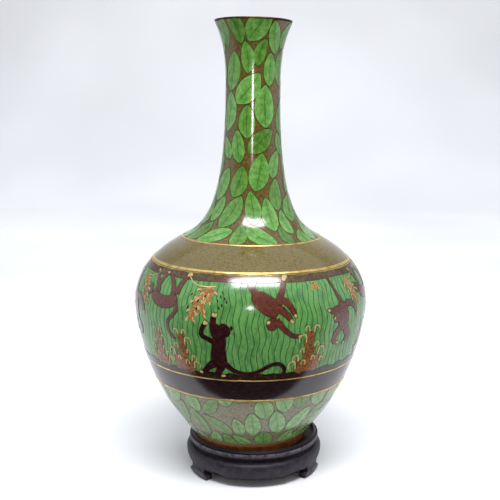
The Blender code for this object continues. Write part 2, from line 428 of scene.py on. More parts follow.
class Inlay:
    """Collects wrapped cells and makes them one piece, each cell with its own colour and tone."""

    def __init__(self, name, materials):
        self.name = name
        self.materials = materials
        self.points, self.faces, self.slots, self.uv, self.tones = [], [], [], [], []
        self.count = 0

    def cell(self, shape, material, place, lift, tone=0.5, **how):
        flat, faces, uv = shape
        points = wrap(flat, place[0], place[1], lift, **how)
        order = 1 if how.get("flip", 1.0) > 0 else -1
        self.points.append(points)
        self.faces.append(faces[:, ::order] + self.count)
        self.slots.append(np.full(len(faces), self.materials.index(material)))
        self.uv.append(uv)
        self.tones.append(np.full(len(flat), tone))
        self.count += len(flat)

    def wired(self, shape_points, glass, wire, place, lift=0.0, tone=0.5, wire_width=0.55,
              columns=4, rows=14, **how):
        """A cell of glass in its wire: the wire shows as a rim round the glass."""
        self.cell(stroke(shape_points, columns, rows, grow=wire_width), wire, place,
                  WIRE_LIFT + lift, tone, **how)
        self.cell(stroke(shape_points, columns, rows), glass, place, GLASS_LIFT + lift, tone, **how)

    def make(self):
        mesh = bpy.data.meshes.new(self.name)
        points = np.concatenate(self.points)
        faces = np.concatenate(self.faces)
        mesh.from_pydata(points.tolist(), [], faces.tolist())
        uv_layer = mesh.uv_layers.new(name="cell")
        corner = np.empty(len(mesh.loops), dtype=np.int32)
        mesh.loops.foreach_get("vertex_index", corner)
        uv_layer.data.foreach_set("uv", np.concatenate(self.uv)[corner].ravel().astype(np.float32))
        tone = mesh.attributes.new("tone", "FLOAT", "POINT")
        tone.data.foreach_set("value", np.concatenate(self.tones).astype(np.float32))
        for material in self.materials:
            mesh.materials.append(material)
        mesh.polygons.foreach_set("material_index", np.concatenate(self.slots).astype(np.int32))
        piece = bpy.data.objects.new(self.name, mesh)
        bpy.context.collection.objects.link(piece)
        select_only(piece)
        bpy.ops.object.mode_set(mode="EDIT")
        bpy.ops.mesh.select_all(action="SELECT")
        bpy.ops.mesh.dissolve_degenerate(threshold=0.00001)
        bpy.ops.object.mode_set(mode="OBJECT")
        bpy.ops.object.shade_smooth()
        mesh.normals_split_custom_set_from_vertices(wall_normals(mesh))
        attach(piece, "root")


VEIN_COUNT = 9.0


def leaf_glass(name, dark, middle, light):
    """Green glass of a leaf: cloudy, a little lighter towards its wire, with a dark fine rib."""
    material, shader = new_material(name, ENAMEL_ROUGHNESS, ior=ENAMEL_IOR)
    uv = add_node(material, "ShaderNodeUVMap", uv_map="cell").outputs["UV"]
    parts = add_node(material, "ShaderNodeSeparateXYZ", {"Vector": uv})
    side = add_node(material, "ShaderNodeMath", {0: parts.outputs["X"], 1: 0.5}, operation="SUBTRACT")
    side = add_node(material, "ShaderNodeMath", {0: side.outputs[0]}, operation="ABSOLUTE").outputs[0]
    slant = add_node(material, "ShaderNodeMath", {0: side, 1: 0.7, 2: parts.outputs["Y"]},
                     operation="MULTIPLY_ADD").outputs[0]
    vein = add_node(material, "ShaderNodeMath", {0: slant, 1: VEIN_COUNT * math.tau}, operation="MULTIPLY")
    vein = add_node(material, "ShaderNodeMath", {0: vein.outputs[0]}, operation="SINE").outputs[0]
    cloud = mottle(material, 4.0, detail=4.0, roughness=0.62)
    depth = add_node(material, "ShaderNodeMath", {0: side, 1: 0.28, 2: cloud}, operation="MULTIPLY_ADD")
    depth = add_node(material, "ShaderNodeMath", {0: vein, 1: 0.025, 2: depth.outputs[0]},
                     operation="MULTIPLY_ADD").outputs[0]
    colour = add_node(material, "ShaderNodeValToRGB", {"Fac": depth},
                      [(0.36, dark), (0.55, middle), (0.76, light)]).outputs["Color"]
    tone = add_node(material, "ShaderNodeAttribute", attribute_name="tone").outputs["Fac"]
    tint = add_node(material, "ShaderNodeValToRGB", {"Fac": tone},
                    [(0.0, "#c9c9a4"), (0.5, "#ebeee0"), (1.0, "#ffffff")]).outputs["Color"]
    rib = add_node(material, "ShaderNodeValToRGB", {"Fac": side},
                   [(0.010, "#84905a"), (0.030, "#ffffff")]).outputs["Color"]
    for share, layer in ((1.0, tint), (0.75, rib)):
        colour = add_node(material, "ShaderNodeMix", {0: share, 6: colour, 7: layer},
                          data_type="RGBA", blend_type="MULTIPLY").outputs[2]
    material.node_tree.links.new(colour, shader.inputs["Base Color"])
    ground_by_hand(material, shader)
    return material


# Copper-green enamel over the bright ground of a wire cell: each leaf has its own tone of green.
neck_green = leaf_glass("green_enamel_of_neck_leaves", "#3f7029", "#558339", "#6d994d")
# The foot's green is paler than the neck's: partly its own glass, partly a painted reflection of the bright
# floor veiling it.
foot_green = leaf_glass("green_enamel_of_foot_leaves", "#4e7740", "#668b53", "#829f69")
# Flat brass wire, ground flush and toned: a dark warm line that glints here and there.
leaf_wire = metal("toned_wire", [(0.35, "#241a0c"), (0.65, "#4a3516")], 3.0, 0.3, metallic=0.6, detail=3.0)


def leaf_half_width(share):
    """Half the width of a leaf of width 1, at a share from -1 at its stalk to 1 at its tip."""
    return 0.5 * np.clip(1.0 - np.abs(share) ** 2.2, 0.0, 1.0) ** 0.82 * (1.0 - 0.12 * share)


def leaf_shape(length, width, bend, grow=0.0):
    """A leaf's own points, stalk end down, with its rib bent to one side."""
    places, faces = flat_cell(6, 14)
    share = -np.cos(np.pi * places[:, 1])
    half = width * leaf_half_width(share) + grow
    across = (places[:, 0] - 0.5) * 2.0 * half + bend * (1.0 - share ** 2)
    return np.stack([across, -share * (0.5 * length + grow)], axis=1), faces, places


class Leaf:
    """A leaf's place (degrees from the front, millimetres down), tilt, length, width for its length
    and the length it may grow to."""

    def __init__(self, turn, down, tilt, length, slim, full_length):
        self.turn, self.down, self.tilt = turn, down, tilt
        self.length, self.slim, self.full_length = length, slim, full_length
        self.radius = np.interp(down * MM, wall_down, wall_radius) / MM

    def near(self, other):
        """Whether the two are near enough to meet."""
        reach = 0.5 * (self.length + other.length) + 3.0
        turned = abs((self.turn - other.turn + 180.0) % 360.0 - 180.0)
        return abs(self.down - other.down) < reach and math.radians(turned) * self.radius < 1.4 * reach

    def rim(self):
        """Points round the leaf, as degrees from the front and millimetres down."""
        share = np.concatenate([np.linspace(-1.0, 1.0, 13), np.linspace(0.85, -0.85, 12)])
        side = np.where(np.arange(25) < 13, 1.0, -1.0)
        x = side * self.length * self.slim * leaf_half_width(share)
        y = -share * 0.5 * self.length
        angle = math.radians(self.tilt)
        return (self.turn + np.degrees((x * math.cos(angle) - y * math.sin(angle)) / self.radius),
                self.down + x * math.sin(angle) + y * math.cos(angle))

    def holds(self, turns, downs, gap):
        """Whether any of the points lies in the leaf, or nearer to it than the gap."""
        x = np.radians((turns - self.turn + 180.0) % 360.0 - 180.0) * self.radius
        y = downs - self.down
        angle = math.radians(self.tilt)
        across = x * math.cos(angle) + y * math.sin(angle)
        share = -(y * math.cos(angle) - x * math.sin(angle)) / (0.5 * self.length + gap)
        half = self.length * self.slim * leaf_half_width(np.clip(share, -1.0, 1.0)) + gap
        return bool(np.any((np.abs(share) < 1.0) & (np.abs(across) < half)))


def pack_leaves(leaves, gap, chance):
    """Leaves swell and shift a little at a time, and stop where they would crowd another."""
    rims = [leaf.rim() for leaf in leaves]
    for step in range(PACKING_ROUNDS):
        calm = 1.0 - step / PACKING_ROUNDS
        for index, leaf in enumerate(leaves):
            grown = min(leaf.length * SWELL, leaf.full_length)
            slim = leaf.slim if grown > leaf.length else min(leaf.slim * SWELL, FULLEST_LEAF)
            turn = leaf.turn + chance.gauss(0.0, 1.4) * calm
            down = leaf.down + chance.gauss(0.0, 0.7) * calm
            tilt = leaf.tilt + chance.gauss(0.0, 2.0) * calm
            trial = Leaf(turn, down, tilt, grown, slim, leaf.full_length)
            rim = trial.rim()
            near = [other for other in range(len(leaves)) if other != index and leaves[other].near(trial)]
            if any(leaves[other].holds(*rim, gap) or trial.holds(*rims[other], gap) for other in near):
                continue
            leaves[index], rims[index] = trial, rim
    return leaves


def leaf_field(name, glass, leaves, gap, keep, chance):
    """Packs the leaves over their zone of the wall and makes each a wired cell."""
    field = Inlay(name, [glass, leaf_wire])
    for leaf in pack_leaves(leaves, 0.5 * gap, chance):
        bend = chance.uniform(-1.2, 1.2)
        tone = chance.random()
        place = (leaf.turn, leaf.down)
        width = leaf.length * leaf.slim
        for grow, material, lift in ((WIRE_RIM, leaf_wire, WIRE_LIFT), (0.0, glass, GLASS_LIFT)):
            field.cell(leaf_shape(leaf.length, width, bend, grow), material, place, lift, tone,
                       spin=leaf.tilt, keep=keep)
    field.make()


WIRE_RIM = 0.45
FULLEST_LEAF = 0.66
PACKING_ROUNDS = 64
SWELL = 1.03
# What share of its full length a leaf starts from, and its width for its length.
NECK_START = 0.45
NECK_SLIM = 0.44
FOOT_START = 0.38
FOOT_SLIM = 0.42
# A third of the neck, as degrees from the front, millimetres down, tilt and full length.
NECK_THIRD = [
    (-24, 11, -6, 36), (12, 5, 24, 32), (47, 17, -10, 35), (-17, 36, 8, 28), (16, 31, 16, 28),
    (43, 47, -8, 34), (-53, 45, 6, 34), (-8, 61, 36, 33), (27, 76, 4, 37), (-12, 89, -10, 29),
    (-48, 85, 5, 37), (21, 106, 36, 30), (-23, 113, -3, 31), (47, 122, 4, 32), (20, 134, 6, 34),
    (-15, 141, 8, 29), (-43, 142, 20, 32), (40, 154, 5, 31), (-31, 169, 22, 34), (-2, 163, 0, 31),
    (21, 171, -22, 36), (50, 175, 4, 27), (-26, 191, 52, 34), (-8, 194, 6, 27), (11, 192, -48, 34),
    (33, 195, 0, 24), (-52, 190, 20, 30), (-50, 112, -12, 26), (-54, 166, 10, 26), (52, 197, 30, 24),
    (-55, 12, 4, 34),
]
chance = random.Random(11)
neck_leaves = [Leaf(turn + 120.0 * third + chance.uniform(-1.0, 1.0), down, tilt, NECK_START * length,
                    NECK_SLIM, length)
               for third in range(3) for turn, down, tilt, length in NECK_THIRD]
leaf_field("neck_leaves", neck_green, neck_leaves, 1.15, (LIP_BAND + 0.3, SHOULDER_DOWN - 1.0), chance)

# Rows round the foot: millimetres below its ring, how many leaves, their full length and lean.
FOOT_ROWS = [(5.0, 27, 26.0, 45.0), (32.0, 26, 35.0, 30.0), (57.0, 26, 26.0, 30.0)]
foot_leaves = []
for row, (below, around, length, lean) in enumerate(FOOT_ROWS):
    for index in range(around):
        turn = 360.0 * (index + 0.5 * (row % 2)) / around + chance.uniform(-2.0, 2.0)
        down = LEAF_DOWN + below + chance.uniform(-2.0, 2.0)
        tilt = chance.uniform(-lean, lean)
        full_length = length * chance.uniform(0.9, 1.1)
        foot_leaves.append(Leaf(turn, down, tilt, FOOT_START * length, FOOT_SLIM, full_length))
leaf_field("foot_leaves", foot_green, foot_leaves, 1.4, (LEAF_DOWN + 1.1, FOOT_DOWN - 0.4), chance)

# ==================================================================================================
# The waves: fine wires that run down the green ground behind the figures, each with its own slow
# sway. They only show as dark hairlines, because they are ground flush and have toned.
# ==================================================================================================
WAVE_COUNT = 132
WAVE_WIDTH = 0.48
WAVE_LIFT = 0.07
WAVE_POINTS = 15
SWAYS = 3.4
# The same wire under a film of green glass: a dark green hairline with little shine.
green_wire = metal("wire_toned_green", [(0.35, "#16240f"), (0.65, "#33421f")], 3.0, 0.3, metallic=0.4,
                   detail=3.0)
waves = Inlay("wave_wires", [green_wire])
wave_span = BAND_DOWN - FRIEZE_DOWN
for index in range(WAVE_COUNT):
    sway = chance.uniform(0.9, 1.5)
    phase = 1.9 * math.sin(index * 0.35) + chance.uniform(-0.3, 0.3)
    wave = []
    for step in range(WAVE_POINTS):
        share = step / (WAVE_POINTS - 1)
        x = sway * math.sin(phase + share * math.tau * SWAYS) + 1.2 * math.sin(0.5 * phase + 3.0 * share)
        wave.append((x, (share - 0.5) * wave_span, WAVE_WIDTH))
    place = (360.0 * index / WAVE_COUNT, 0.5 * (FRIEZE_DOWN + BAND_DOWN))
    waves.cell(stroke(wave, columns=2, rows=56), green_wire, place, WAVE_LIFT,
               keep=(FRIEZE_DOWN + BOUGH_DEPTH, BAND_DOWN - 1.0))
waves.make()

# ==================================================================================================
# The frieze: monkeys climb about under a bough, among hanging blossom and rock plants. Each is
# drawn here in flat strokes about its own middle and set round the belly three times.
# ==================================================================================================
# Opaque enamels of the figures, fired and ground flush. Dark coats: near black or fox brown in
# small clouds, with the same deep gloss as the ground.
maroon = enamel("black_maroon_enamel", [(0.3, "#16060a"), (0.5, "#260c0f"), (0.7, "#3a1614")], 3.0)
red_brown = enamel("red_brown_enamel", [(0.3, "#3e1c15"), (0.5, "#4f271d"), (0.7, "#613426")], 2.0)
# Bark and the bank of earth: browns that break up in streaks and lumps.
bark = enamel("bark_enamel", [(0.3, "#271a0c"), (0.5, "#3f2d14"), (0.7, "#574320")], 3.5)
earth = enamel("earth_enamel", [(0.3, "#110809"), (0.5, "#23130f"), (0.7, "#3d271a")], 3.0)
# Faces, paws and petal tips: an ivory glass, warm and milky.
cream = enamel("cream_enamel", [(0.3, "#8c7046"), (0.7, "#b8a16c")], 3.0)
# Petals and rock plants: iron-brown glass, from honey to rust.
amber = enamel("amber_enamel", [(0.3, "#64391a"), (0.5, "#88582a"), (0.7, "#a67c40")], 2.2)
rust = enamel("rust_enamel", [(0.3, "#4a2713"), (0.5, "#6c4122"), (0.7, "#83602c")], 2.2)
# Seeds: a black glass that shows as small shiny dots.
seed_black = enamel("black_enamel", [(0.3, "#120c08"), (0.7, "#2a1c10")], 2.0)

# Each monkey: strokes of (x, y, width) in millimetres; y runs down the wall.
CLIMBER = {
    "limbs": [
        [(-6, -2, 4.0), (-12.5, -10, 3.3), (-19, -18.5, 2.8)],
        [(12, -2, 5.0), (9, -10, 4.0), (2.5, -18, 3.0)],
        [(-11, -2, 4.8), (-9, -10, 3.8), (-4, -18.5, 3.2)],
        [(15, -3, 5.6), (17, -11, 4.4), (21, -19, 3.4)],
    ],
    "body": [(-15, 0, 7.0), (-7, 4, 9.2), (2, 5.5, 9.6), (10, 4, 9.8), (15.5, -1, 8.0)],
    "head": [(-23, -1, 6.0), (-19.5, -1.5, 8.6), (-16, -1, 6.5)],
    "tail": [(15, 3, 3.2), (17.5, 9, 2.6), (14, 15, 2.5), (9, 20, 2.4), (8.5, 27, 2.2), (12, 33, 2.0),
             (16, 35, 1.5)],
    "ears": [(-17.5, -5.5, 2.6)],
    "face": [(-22.5, -1.5, 3.2), (-20.5, -0.5, 4.2)],
    "hands": [[(20.5, -19.5, 2.6), (23.0, -21.5, 3.4), (25.5, -20.5, 2.0)],
              [(-21.0, -20.0, 1.8), (-18.0, -19.5, 2.2)], [(-5.5, -20.0, 1.8), (-2.5, -19.5, 2.2)]],
}
REACHER = {
    "limbs": [
        [(-4, -5, 4.4), (-9, -7.0, 3.6), (-14.4, -10, 3.4), (-13.8, -15, 3.4), (-11.2, -20, 3.2)],
        [(-3, 14, 8.0), (-9, 17.5, 5.6), (-13.5, 22, 4.2), (-16.5, 24.5, 3.0)],
        [(2, 15, 8.5), (-0.5, 20.5, 5.6), (-2.5, 24.5, 4.2), (2, 26, 3.2)],
        [(-2.5, -9, 6.0), (-4.0, -16, 5.0), (-4.4, -22, 4.4), (-3.4, -27, 3.6)],
    ],
    "body": [(1.0, -12, 9.0), (0.4, -6, 11.0), (-0.4, 2, 11.2), (-0.4, 10, 13.0), (0.2, 17.5, 12.5)],
    "head": [(-1.6, -13.6, 7.5), (3.6, -14.6, 12.6), (9.4, -13.4, 9.0)],
    "tail": [(4, 14, 5.0), (12, 20.5, 3.4), (22, 23.5, 3.0), (32, 21.5, 2.8), (40, 17, 2.7),
             (47.5, 14.2, 2.7), (53.5, 16.5, 2.7), (55.5, 21.5, 2.5), (53, 25.5, 2.0)],
    "ears": [(10.6, -17.6, 4.2), (-1.0, -19.2, 3.0)],
    "face": [(11.6, -12.6, 1.0), (12.6, -12.4, 1.2)],
    "hands": [[(-11.6, -19, 3.0), (-10.2, -22.5, 2.2)], [(-11.0, -19.4, 2.2), (-8.4, -21.0, 1.6)],
              [(-16.0, 24.3, 2.8), (-19.5, 24.0, 2.0)], [(0.6, 26.0, 2.4), (4.5, 25.6, 1.8)],
              [(-3.8, -26, 3.2), (-4.0, -29.5, 1.8)], [(-3.2, -26, 2.6), (-1.2, -29.0, 1.6)]],
}
SWINGER = {
    "limbs": [
        [(-11, -9, 6.4), (-14.5, -15, 4.0), (-12, -21, 2.6)],
        [(4, -3, 6.4), (12, -4.0, 5.2), (17, 1.5, 4.4), (20.5, 8, 3.4)],
        [(6, 1, 6.4), (12, 6, 5.0), (17, 12, 3.8)],
        [(7, -5, 5.6), (11.5, -13, 4.4), (14, -21, 3.8)],
        [(5, 12, 4.6), (11, 19, 3.8), (18, 25, 3.3), (24, 26.5, 2.8)],
    ],
    "body": [(-14.0, -10, 9.0), (-7.5, -5, 14.0), (0, 1.0, 14.6), (4.5, 8, 11.0)],
    "head": [(-2.0, 11.5, 8.0), (2.0, 14.5, 11.4), (6.0, 15.5, 8.0)],
    "tail": [(-12, -10, 3.0), (-16, -14, 2.4), (-17, -20, 2.0)],
    "ears": [(6.6, 10.8, 2.6)],
    "face": [(-2.6, 12.0, 3.0), (-1.0, 14.0, 3.6)],
    "hands": [[(13.0, -21, 3.4), (15.0, -24.5, 4.0), (18.0, -25.0, 2.4)],
              [(23.5, 26.5, 2.8), (27.0, 26.5, 2.2)], [(16.5, 11.5, 2.8), (18.5, 14.5, 2.2)],
              [(20.0, 7.5, 2.4), (21.5, 10.0, 2.0)]],
}
DANGLER = {
    "limbs": [
        [(4, -5, 6.4), (11, -5, 5.0), (18, -1, 4.2), (23, 5, 3.2)],
        [(3, 16, 8.4), (8.5, 20, 7.0), (9.5, 26, 5.4), (5, 29, 3.4)],
        [(-3, 15, 7.0), (-8.5, 19, 5.6), (-10, 25, 4.4), (-6, 28, 3.0)],
        [(-6, -3, 6.0), (-12, -1.5, 4.8), (-17, -2, 3.6)],
    ],
    "body": [(-2, -8, 10.5), (-1.0, 0, 14.4), (0.8, 8, 14.0), (1.5, 17, 11.0)],
    "head": [(-12.5, 3.0, 7.0), (-9.5, 4.0, 10.0), (-5.0, 5.0, 8.0)],
    "tail": [(-10.5, -32, 2.2), (-8.5, -23, 2.3), (-5, -14, 2.6), (-2.5, -8, 3.4)],
    "ears": [(-7.5, -0.5, 2.6)],
    "face": [(-12.0, 4.5, 2.6), (-10.5, 5.5, 3.2)],
    "hands": [[(-16.5, -2, 2.6), (-19.5, -3.0, 2.0)], [(22.5, 5.5, 2.6), (24.0, 8.5, 2.0)],
              [(-6.5, 27, 2.4), (-3.5, 28.0, 1.8)], [(5.5, 29, 2.4), (2.5, 30.0, 1.8)]],
}
FIGURE_LIFT = 0.12
FIGURE_RIM = 0.45


def draw_monkey(inlay, pose, coat, place, flip=1.0):
    """All the wires first, so that a monkey has one outline, then the coat and the pale parts."""
    coat_strokes = [pose["tail"]] + pose["limbs"] + [pose["body"], pose["head"]]
    coat_strokes += [[(x - 0.2 * size, y, size), (x + 0.2 * size, y, size)] for x, y, size in pose["ears"]]
    pale_strokes = [pose["face"]] + pose["hands"]
    for grow, material, strokes, lift in ((FIGURE_RIM, leaf_wire, coat_strokes + pale_strokes, WIRE_LIFT),
                                          (0.0, coat, coat_strokes, GLASS_LIFT),
                                          (0.0, cream, pale_strokes, GLASS_LIFT + 2 * LAYER)):
        for points in strokes:
            inlay.cell(stroke(points, columns=4, rows=6 + 3 * len(points), grow=grow), material, place,
                       FIGURE_LIFT + lift, flip=flip, keep=(FRIEZE_DOWN + 1.4, BAND_DOWN - 0.8))


group_turns = [0.0, 120.0, 240.0]
monkeys = Inlay("monkeys", [leaf_wire, maroon, red_brown, cream])
for start in group_turns:
    draw_monkey(monkeys, CLIMBER, red_brown, (start - 43.0, FRIEZE_DOWN + 25.5))
    draw_monkey(monkeys, REACHER, maroon, (start - 12.0, FRIEZE_DOWN + 63.5))
    draw_monkey(monkeys, SWINGER, red_brown, (start + 11.0, FRIEZE_DOWN + 28.0))
    draw_monkey(monkeys, DANGLER, red_brown, (start + 50.0, FRIEZE_DOWN + 38.5))
monkeys.make()

bough = Inlay("bough", [leaf_wire, bark, red_brown])
BOUGH_PARTS = 12
BOUGH_ROUND = 92.0
BOUGH_LAP = 2.0
for part in range(BOUGH_PARTS):
    turn = 360.0 * part / BOUGH_PARTS
    reach = 0.5 * math.tau / BOUGH_PARTS * BOUGH_ROUND + BOUGH_LAP
    run = [(-reach, 0.3, 4.4), (-0.5 * reach, -0.3 + chance.uniform(-0.4, 0.4), 6.2),
           (0.0, 0.5, 5.0), (0.5 * reach, chance.uniform(-0.4, 0.4), 6.4), (reach, 0.3, 4.6)]
    bough.wired(run, bark if part % 3 else red_brown, leaf_wire, (turn, FRIEZE_DOWN + 5.6),
                lift=0.02 * (part % 2), columns=3, rows=30, wire_width=0.35)
bough.make()

# ==================================================================================================
# The blossom: sprays hang from the bough on gilt stems. Small amber petals stand out on both
# sides of each hanging run, with cream tips and black seeds.
# ==================================================================================================
blossoms = Inlay("blossoms", [gilding, amber, cream, seed_black])
SPRAY_STEM = [(-15.5, -19.5, 0.9), (-10, -14.5, 0.9), (-3, -12.0, 0.9), (5, -11.6, 1.0), (12, -12.6, 0.6)]
SPRAY_RUNS = [
    (6, [(7, -11, 2.2), (2.0, -6, 3.4), (-2.5, 1.5, 3.4), (-5.2, 9, 2.6), (-6.0, 14, 1.2)]),
    (4, [(8.0, -11, 2.0), (4.2, -5, 3.0), (2.6, 2, 2.4), (2.6, 7.0, 1.0)]),
    (2, [(9.0, -11, 2.0), (9.6, -6.5, 2.2), (8.6, -3.0, 1.0)]),
]
PETAL_LENGTH = 6.6
# Seeds: where each lies and how far it leans, in degrees.
SPRAY_SEEDS = [(-8.0, -4.0, 50.0), (-1.0, 0.6, 10.0), (4.6, -3.6, 14.0), (-9.4, 6.2, 12.0),
               (-1.8, 7.2, 18.0)]
SEED_HALF_LENGTH = 1.3


def draw_spray(place, flip=1.0, size=1.0):
    """A hanging spray. Slim petals leave each run on alternate sides, down and outwards."""
    how = {"flip": flip, "size": size}
    blossoms.cell(stroke(SPRAY_STEM, 2, 18), gilding, place, GLASS_LIFT + FIGURE_LIFT, **how)
    for pairs, run in SPRAY_RUNS:
        blossoms.wired(run, amber, gilding, place, lift=0.5 * FIGURE_LIFT, wire_width=0.2, columns=3,
                       rows=16, **how)
        shares = np.linspace(0.1, 0.97, pairs)
        knots = smooth_run(run, shares)
        ahead = smooth_run(run, np.minimum(shares + 0.02, 1.0)) - smooth_run(run, shares - 0.02)
        for number in range(pairs):
            x, y = knots[number, :2]
            heading = math.atan2(ahead[number, 1], ahead[number, 0])
            for side in (-1.0, 1.0):
                lean = heading + side * math.radians(petal_chance.uniform(22.0, 46.0))
                length = PETAL_LENGTH * petal_chance.uniform(0.8, 1.15)
                tip = (x + length * math.cos(lean), y + length * math.sin(lean))
                middle_place = (0.5 * (x + tip[0]), 0.5 * (y + tip[1]) + 0.5)
                lift = 0.5 * FIGURE_LIFT + LAYER * (1 + number % 2)
                blossoms.wired([(x, y, 1.2), middle_place + (2.0,), tip + (0.7,)], amber, cream, place,
                               lift=lift, wire_width=0.22, columns=2, rows=6, **how)
                flame = [(x + 0.62 * (tip[0] - x), y + 0.62 * (tip[1] - y) + 0.4, 1.2), tip + (1.5,),
                         (tip[0] + 0.2 * (tip[0] - x), tip[1] + 1.6, 0.5)]
                blossoms.cell(stroke(flame, 2, 6), cream, place, GLASS_LIFT + FIGURE_LIFT + 2 * LAYER, **how)
    for x, y, lean in SPRAY_SEEDS:
        across = SEED_HALF_LENGTH * math.sin(math.radians(lean))
        up = SEED_HALF_LENGTH * math.cos(math.radians(lean))
        for width, glass, layers in ((3.0, cream, 3), (1.9, seed_black, 4)):
            seed = [(x + across, y - up, 0.5 * width), (x, y, width), (x - across, y + up, 0.6 * width)]
            blossoms.cell(stroke(seed, 3, 8), glass, place, GLASS_LIFT + FIGURE_LIFT + layers * LAYER, **how)


petal_chance = random.Random(5)
LOOSE_SEEDS = [(0, 0), (2.2, 5.0), (-3.6, 7.0), (0.2, 10.5), (3.6, 7.5), (-1.2, 3.5), (-2.0, 12.5)]
for start in group_turns:
    draw_spray((start - 21.5, FRIEZE_DOWN + 25.0))
    draw_spray((start + 61.0, FRIEZE_DOWN + 22.0), flip=-1.0, size=0.8)
    for x, y in LOOSE_SEEDS:
        blossoms.cell(stroke([(x, y - 1.3, 0.9), (x + 0.7, y + 1.3, 1.2)], 2, 4), seed_black,
                      (start - 11.0, FRIEZE_DOWN + 17.5), GLASS_LIFT)
    for lean in (-24.0, 0.0, 24.0):
        blossoms.wired([(0, -3.4, 0.8), (0, 0, 2.2), (0, 4.0, 0.8)], amber, gilding,
                       (start + 34.5 + 0.04 * lean, FRIEZE_DOWN + 13.0), wire_width=0.3, columns=2, rows=8,
                       lift=0.5 * FIGURE_LIFT + 0.02 * (lean > 0), spin=-lean)
blossoms.make()

# ==================================================================================================
# The rock plants: rust-brown stems that stand on the ground strip. Their side shoots end in pale
# curled tips. The strip itself is a dark uneven bank along the lower edge of the picture.
# ==================================================================================================
plants = Inlay("rock_plants", [leaf_wire, rust, cream, earth])
PLANT_STEMS = [
    [(-1.0, 18, 15.0), (-1.6, 12, 12.0), (-0.6, 5, 7.0), (0.5, -3, 5.0), (-0.4, -10, 4.2), (-1.0, -15, 2.6)],
    [(4.5, 18, 10.0), (6.0, 12, 6.0), (7.0, 8, 3.0)],
    [(-5.5, 18, 9.0), (-7.0, 10, 5.0), (-7.6, 4, 2.6)],
]
# Side shoots: where one leaves its stem, its side, how far it reaches and how large its curl is.
PLANT_SHOOTS = [(-13, -1, 3.2, 1.2), (-14, 1, 2.2, 0.9), (-6, 1, 4.6, 1.5), (-1, -1, 4.8, 0.9),
                (3, 1, 5.2, 0.8), (5, -1, 9.0, 1.4), (9, 1, 9.6, 1.2), (12, -1, 11.0, 0.8),
                (15, 1, 11.5, 1.5), (13, 1, 3.0, 0.9), (10, -1, 3.0, 0.8)]
CURL_RADIUS = 2.1


def draw_plant(place, flip=1.0, size=1.0):
    """A clump of stems and their shoots. Each shoot ends in a pale hook that droops outwards."""
    how = {"flip": flip, "size": size, "keep": (FRIEZE_DOWN, BAND_DOWN - 0.8)}
    for number, stem in enumerate(PLANT_STEMS):
        plants.wired(stem, rust, leaf_wire, place, lift=0.5 * FIGURE_LIFT + 0.4 * LAYER * number,
                     wire_width=0.3, columns=3, rows=18, **how)
    for number, (height, side, reach, curl_size) in enumerate(PLANT_SHOOTS):
        end = (side * reach, height - 2.6)
        shoot = [(0.35 * side * reach, height + 3.0, 3.2), (0.75 * side * reach, height + 1.2, 3.0),
                 end + (1.6,)]
        plants.wired(shoot, rust, leaf_wire, place, lift=0.5 * FIGURE_LIFT + 0.2 * LAYER * (number % 5),
                     wire_width=0.25, columns=2, rows=8, **how)
        hook = []
        radius = CURL_RADIUS * curl_size
        for step in range(7):
            angle = math.radians(160.0 - 32.0 * step)
            droop = 1.3 * radius if step == 0 else 0.0
            hook.append((end[0] + side * radius * (0.55 + math.cos(angle)),
                         end[1] - 0.2 * radius - 1.25 * radius * math.sin(angle) + droop,
                         1.25 - 0.09 * step))
        plants.cell(stroke(hook, 2, 18), cream, place, GLASS_LIFT + FIGURE_LIFT + 3 * LAYER, **how)


for start in group_turns:
    draw_plant((start - 31.0, FRIEZE_DOWN + 70.5))
    draw_plant((start + 30.5, FRIEZE_DOWN + 68.0), flip=-1.0, size=1.12)
    draw_plant((start + 74.0, FRIEZE_DOWN + 72.0), size=0.9)

GROUND_PARTS = 18
GROUND_ROUND = 98.0
GROUND_LAP = 3.0
for part in range(GROUND_PARTS):
    reach = 0.5 * math.tau * GROUND_ROUND / GROUND_PARTS + GROUND_LAP
    bumps = [(-reach, 0.5, 4.0), (-0.6 * reach, 0.0, chance.uniform(6.0, 8.5)),
             (-0.2 * reach, 0.3, chance.uniform(4.5, 6.5)), (0.25 * reach, 0.0, chance.uniform(6.5, 9.0)),
             (0.65 * reach, 0.2, chance.uniform(5.0, 7.5)), (reach, 0.5, 4.0)]
    plants.cell(stroke(bumps, 3, 26), earth, (360.0 * part / GROUND_PARTS, BAND_DOWN - 3.6),
                GLASS_LIFT + 0.5 * FIGURE_LIFT + 0.02 * (part % 2), keep=(FRIEZE_DOWN, BAND_DOWN - 0.6))
plants.make()

# ==================================================================================================
# The stand: one block of hardwood, turned to a dish with a raised rim and a bulged frieze, sawn
# into scroll feet, stained almost black and waxed.
# ==================================================================================================
STAND_X = 0.0039
DISH_RADIUS = 0.0564
RIM_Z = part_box("wood_stand")[1][2]
SEAT_Z = RIM_Z - 0.0060
BULGE_Z = SEAT_Z - 0.0107
BULGE_RADIUS = DISH_RADIUS + 0.0073
APRON_THICKNESS = 0.0095
APRON_Z = 0.0098
PLATE_THICKNESS = 0.0100
FOOT_AZIMUTHS = (65.0, 185.0, 305.0)
FOOT_HALF_ANGLE = 13.0
